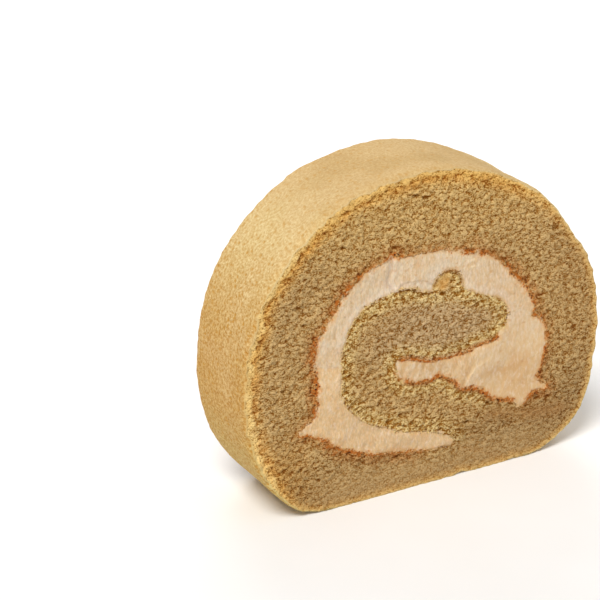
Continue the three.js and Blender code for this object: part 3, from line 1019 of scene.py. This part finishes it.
def make_cream():
    """The cream: a body with the cut faces smeared by the knife."""
    walls = [cream_wall(OVERLAP)]
    wall_numbers = numbered(walls)[0]
    margin = KEEP_OFF * CREAM_CELL

    def region(side):
        return lambda x, z: cream_edge(x, side * CUT, z) < OVERLAP - margin

    points, triangles, quads, which = cut_body(CREAM_CELL, region, walls)
    x, y, z = points.T
    for side, row in SIDES:
        on_face = which == side
        on_face[wall_numbers[row]] = True
        y[on_face] = side * (CUT - cream_face(x[on_face], z[on_face], side))
    piece = make_mesh("cream_spiral", points, triangles, quads, 0, len(quads))
    store_surface(piece.data, x, y, z, np.full(len(x), 0.3), crumb_tone(x, y, z), cream_tone(x, y, z))
    piece.data.materials.append(cream_material())
    return piece


# ---------------------------------------------------------------- materials


def node(tree, kind, inputs=(), output=0, **settings):
    """Adds a node, sets its properties, and fills its sockets, by name or in order: each with a number, a
    hex colour or another node's output. Gives the output that is asked for."""
    made = tree.nodes.new("ShaderNode" + kind)
    for key, value in settings.items():
        setattr(made, key, value)
    for key, value in inputs.items() if isinstance(inputs, dict) else enumerate(inputs):
        if isinstance(value, bpy.types.NodeSocket):
            tree.links.new(value, made.inputs[key])
        else:
            made.inputs[key].default_value = linear(value) if isinstance(value, str) else value
    return made.outputs[output] if made.outputs else None


def weighed(tree, total, *terms):
    """A sum: a total, and each term's value times its weight added to it."""
    for value, weight in terms:
        total = node(tree, "Math", (value, weight, total), operation="MULTIPLY_ADD")
    return total


def product(tree, total, *factors):
    """Values multiplied together."""
    for factor in factors:
        total = node(tree, "Math", (total, factor), operation="MULTIPLY")
    return total


def painted(tree, colour, *coats):
    """A colour under coats laid on in turn: each has a share from 0 to 1, a colour, and whether that is
    mixed in or multiplied."""
    for share, coat, how in coats:
        inputs = {"Factor": share, "A": colour, "B": coat}
        colour = node(tree, "Mix", inputs, "Result", data_type="RGBA", blend_type=how)
    return colour


def patches(tree, place, size, detail=3.0, fine=0.6, low=0.0, high=1.0):
    """Patches of that size in millimetres: noise, 0 up to low and 1 from high; fine is the strength of its
    details."""
    inputs = {"Vector": place, "Scale": 1 / (size * MM), "Detail": detail, "Roughness": fine}
    return node(tree, "MapRange", (node(tree, "TexNoise", inputs), low, high))


def specks(tree, place, spacing, radius, core=0.0):
    """Round specks, 1 within core and 0 from radius, one in each cell of that spacing (all mm)."""
    cells = node(tree, "TexVoronoi", {"Vector": place, "Scale": 1 / (spacing * MM)})
    return node(tree, "MapRange", (cells, core / spacing, radius / spacing, 1.0, 0.0))


def near(tree, distance, place, full, none):
    """1 where a distance is within full millimetres of place, falling to 0 at none."""
    away = node(tree, "Math", (weighed(tree, distance, (1.0, -place)),), operation="ABSOLUTE")
    return node(tree, "MapRange", (away, none, full))


def new_material(name):
    """A material with an empty node tree, that tree, and the place on the piece."""
    material = bpy.data.materials.new(name)
    material.use_nodes = True
    tree = material.node_tree
    tree.nodes.clear()
    return material, tree, node(tree, "TexCoord", (), "Object")


def finish_material(tree, colour, height, relief, **surface):
    """Ends a material: its colour, a bump of relief millimetres from height, and the shader's settings."""
    bump = node(tree, "Bump", {"Height": height, "Strength": 1.0, "Distance": relief * MM})
    inputs = {"Base Color": colour, "Normal": bump}
    inputs.update({key.replace("_", " "): value for key, value in surface.items()})
    node(tree, "OutputMaterial", {"Surface": node(tree, "BsdfPrincipled", inputs)})


def crumb_colours(tree, place, stain):
    """Colour and grain of the crumb: painted light on the tops of its small torn walls, and painted shade in
    its creases and pores, with scattered dark dots, all browner and stronger in colour the darker they are,
    as light bounced inside the crumb would make them, and all of this weaker where the cut is smooth. Where
    it is stained it is orange-brown, with deeper painted shade in the creases."""
    pit, smooth = (node(tree, "Attribute", (), "Fac", attribute_name=name) for name in ("pit", "smooth"))
    tone = node(tree, "Attribute", (), "Color", attribute_name="sponge_tone")
    loose = node(tree, "MapRange", (smooth, 0.0, 1.0, 1.0, 0.2))
    drawn_out = node(tree, "Mapping", {"Vector": place, "Scale": (0.7, 1, 1)})
    grain = patches(tree, drawn_out, 0.28, 2.0, low=0.3, high=0.7)
    cells = node(tree, "TexVoronoi", {"Vector": drawn_out, "Scale": 1 / (0.75 * MM)})
    walls = node(tree, "MapRange", (product(tree, cells, cells), 0.0, 0.45, 1.0, 0.0))
    few = patches(tree, place, 0.7, 1.0, low=0.38, high=0.62)
    dots = product(tree, specks(tree, drawn_out, 0.55, 0.2, 0.08), few)
    # painted shade and light: dark follows the openings and creases, and is lighter on the walls' tops
    dark = weighed(tree, 0.77, (pit, 1.15), (grain, -1.35), (dots, 0.5), (walls, -0.4), (stain, 0.12))
    dark = weighed(tree, 0.35, (weighed(tree, dark, (1.0, -0.35)), loose))
    colour = painted(
        tree, tone,
        (stain, "C0742C", "MIX"),
        (node(tree, "MapRange", (dark, 0.0, 1.0)), "98702F", "MULTIPLY"),
        (node(tree, "MapRange", (dark, 0.15, 0.8)), "FFF1BC", "MULTIPLY"),
    )
    return colour, product(tree, weighed(tree, grain, (walls, 1.5)), loose)


def cream_colours(tree, place):
    """Colour and grain of the cream: warm and pale smears and fine strokes drawn out down the cut, the
    strokes weaker where it is smooth, and a few specks of crumb dragged in by the knife."""
    smooth = node(tree, "Attribute", (), "Fac", attribute_name="smooth")
    tone = node(tree, "Attribute", (), "Color", attribute_name="cream_tone")
    drawn_out = node(tree, "Mapping", {"Vector": place, "Scale": (1, 1, 0.45)})
    grain = patches(tree, drawn_out, 0.7, 5.0, 0.75)
    strokes = weighed(tree, patches(tree, drawn_out, 0.36, 1.0), (1.0, -0.5))
    strokes = product(tree, strokes, node(tree, "MapRange", (smooth, 0.0, 1.0, 1.0, 0.1)))
    dots = product(tree, specks(tree, place, 0.9, 0.22), patches(tree, place, 2.5, low=0.56, high=0.66), 0.6)
    colour = painted(
        tree, tone,
        (node(tree, "MapRange", (grain, 0.5, 0.3, 0.0, 0.5)), "CC9A5E", "MIX"),
        (node(tree, "MapRange", (grain, 0.5, 0.7, 0.0, 0.5)), "ECDCC8", "MIX"),
        (1.0, node(tree, "MapRange", (strokes, -0.2, 0.2, 0.91, 1.09)), "MULTIPLY"),
        (dots, "B07840", "MIX"),
    )
    return colour, weighed(tree, grain, (strokes, 1.0))


def cut_colours(tree, place):
    """Colour of a cut face: crumb outside the cream's edge and cream inside it, with the edge smeared and
    interlocked by two noises. Where the crust lies beside the cream it stains the crumb orange-brown in
    patches, and leaves an orange halo, a broken rust line and small burnt dots. Elsewhere clusters of small
    dark pores, painted shade, break the edge. Also gives the share of cream, and the grains of crumb and
    cream."""
    crust, edge = (node(tree, "Attribute", (), "Fac", attribute_name=name) for name in ("crust", "edge"))
    coarse, fine = (patches(tree, place, size, 1.0) for size in (1.0, 0.42))
    edge = weighed(tree, edge, (coarse, 1.8), (fine, 1.5), (1.0, -1.65))
    stained = node(tree, "MapRange", (crust, 0.0, 1.0, 0.0, 0.85))
    patchy = patches(tree, place, 0.9, low=0.34, high=0.58)
    stain = product(tree, near(tree, edge, 0.4, 0.5, 3.0), patchy, stained)
    crumb, crumb_grain = crumb_colours(tree, place, stain)
    cream, cream_grain = cream_colours(tree, place)
    in_cream = node(tree, "MapRange", (edge, 0.14, -0.14))
    halo = patches(tree, place, 1.2, 1.0, low=0.25, high=0.5)
    line = patches(tree, place, 1.2, 1.0, low=0.45, high=0.55)
    holes = specks(tree, place, 0.72, 0.32, 0.16)
    clusters = product(tree, holes, patches(tree, place, 4.5, 1.0, low=0.42, high=0.55))
    burnt_crust = node(tree, "MapRange", (crust, 0.5, 1.2, 0.2, 1.0))
    no_crust = node(tree, "MapRange", (crust, 0.0, 0.4, 1.0, 0.0))
    edge_marks = [  # colour, most share, where beside the edge, pattern and strength
        ("D28A42", 0.65, near(tree, edge, 0.05, 0.1, 0.9), halo, crust),
        ("B8621B", 1.0, near(tree, edge, 0.3, 0.15, 0.55), line, crust),
        ("4A1E0B", 1.0, near(tree, edge, 0.5, 0.4, 1.0), holes, burnt_crust),
        # painted shade: clusters of dark pores along the edge away from the crust
        ("75491B", 0.85, near(tree, edge, 0.6, 0.6, 1.4), clusters, no_crust),
    ]
    coats = [(product(tree, *pattern, most), tint, "MIX") for tint, most, *pattern in edge_marks]
    return painted(tree, crumb, (in_cream, cream, "MIX"), *coats), in_cream, crumb_grain, cream_grain


def crumb_material():
    """Open sponge crumb, baked through and cut by a knife: dull and woolly, a little smoother where cream
    was smeared over it."""
    material, tree, place = new_material("sponge_crumb")
    colour, in_cream, grain, _ = cut_colours(tree, place)
    roughness = node(tree, "MapRange", (in_cream, 0.0, 1.0, 0.92, 0.6))
    finish_material(tree, colour, grain, 0.14, Roughness=roughness, Specular_IOR_Level=0.15)
    return material


def skin_material():
    """The baked skin of the sheet: fine and matt like suede, pale gold with a close grain and small darker
    freckles where bubbles browned."""
    material, tree, place = new_material("baked_skin")
    tone = node(tree, "Attribute", (), "Color", attribute_name="sponge_tone")
    open_skin = node(tree, "Attribute", (), "Fac", attribute_name="pit")
    grain = patches(tree, place, 0.55, 3.0, 0.7, low=0.34, high=0.66)
    few = product(tree, patches(tree, place, 1.6, low=0.34, high=0.55), open_skin)
    freckles = product(tree, specks(tree, place, 1.25, 0.5, 0.2), few)
    grains = painted(tree, "D0A85A", (grain, "FFFFFF", "MIX"))
    colour = painted(
        tree, tone, (open_skin, grains, "MULTIPLY"), (product(tree, freckles, 0.95), "C8913A", "MIX")
    )
    height = weighed(tree, grain, (freckles, -1.0))
    finish_material(tree, colour, height, 0.12, Roughness=0.8, Specular_IOR_Level=0.2)
    return material


def cream_material():
    """Whipped cream flavoured like the sponge: soft, faintly glossy and lit a little from within, dull where
    crumb sticks to its edge."""
    material, tree, place = new_material("whipped_cream")
    colour, in_cream, _, grain = cut_colours(tree, place)
    roughness = node(tree, "MapRange", (in_cream, 0.0, 1.0, 0.9, 0.5))
    finish_material(
        tree, colour, grain, 0.07, Roughness=roughness, Specular_IOR_Level=0.3,
        Subsurface_Weight=0.25, Subsurface_Radius=(1.0, 0.6, 0.35), Subsurface_Scale=1.0 * MM,
    )
    return material


def floor_material():
    """A pale painted board: matt and nearly white, with a faint unevenness in the paint."""
    material, tree, place = new_material("pale_floor")
    slow = patches(tree, place, 60.0)
    colour = painted(tree, "F6F4F1", (node(tree, "MapRange", (slow, 0.3, 0.7)), "F9F8F6", "MIX"))
    finish_material(tree, colour, slow, 0.05, Roughness=0.7)
    return material


# ---------------------------------------------------------------- stage, light and camera


def make_floor():
    """A level square, 3 m across, at the height of the slice's underside."""
    half = 1.5
    corners = [(-half, -half, 0), (half, -half, 0), (half, half, 0), (-half, half, 0)]
    mesh = bpy.data.meshes.new("floor")
    mesh.from_pydata(corners, [], [(0, 1, 2, 3)])
    mesh.materials.append(floor_material())
    floor = add_object("floor", mesh)


def make_light(name, kind, direction, spread, power):
    """A lamp that shines from a direction onto the slice's middle: a sun whose disc is spread radians wide,
    or a square soft box of spread metres, as far away as direction is long."""
    light = bpy.data.lights.new(name, kind)
    light.energy = power
    if kind == "SUN":
        light.angle = spread
    else:
        light.size = spread
    lamp = add_object(name, light)
    x, y, z = direction
    lamp.location = (x, y, z + HEIGHT * MM / 2)
    lamp.rotation_euler = (math.atan2(math.hypot(x, y), z), 0, math.atan2(-y, -x) - math.pi / 2)


def make_camera():
    """The camera: a lens of 120 mm on a film 36 mm wide, tilted and then turned round the upright."""
    data = bpy.data.cameras.new("camera")
    data.sensor_width = 36
    data.lens = 120
    data.clip_start = 0.01
    camera = add_object("camera", data)
    camera.location = CAMERA_PLACE
    camera.rotation_euler = (math.radians(CAMERA_TILT), 0, math.radians(CAMERA_TURN))
    bpy.context.scene.camera = camera


def make_world():
    """Even white light from all round, as in a white tent."""
    world = bpy.data.worlds.new("studio")
    world.use_nodes = True
    background = world.node_tree.nodes["Background"]
    background.inputs["Color"].default_value = linear("FFFFFF")
    background.inputs["Strength"].default_value = 0.4
    bpy.context.scene.world = world


make_camera()
make_world()
make_floor()
for lamp_values in LIGHTS:
    make_light(*lamp_values)
bpy.context.scene.view_settings.view_transform = "Standard"

for build, name in ((make_sponge, "sponge"), (make_cream, "cream")):
    piece = build()
    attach(piece, "root")
    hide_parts(name)
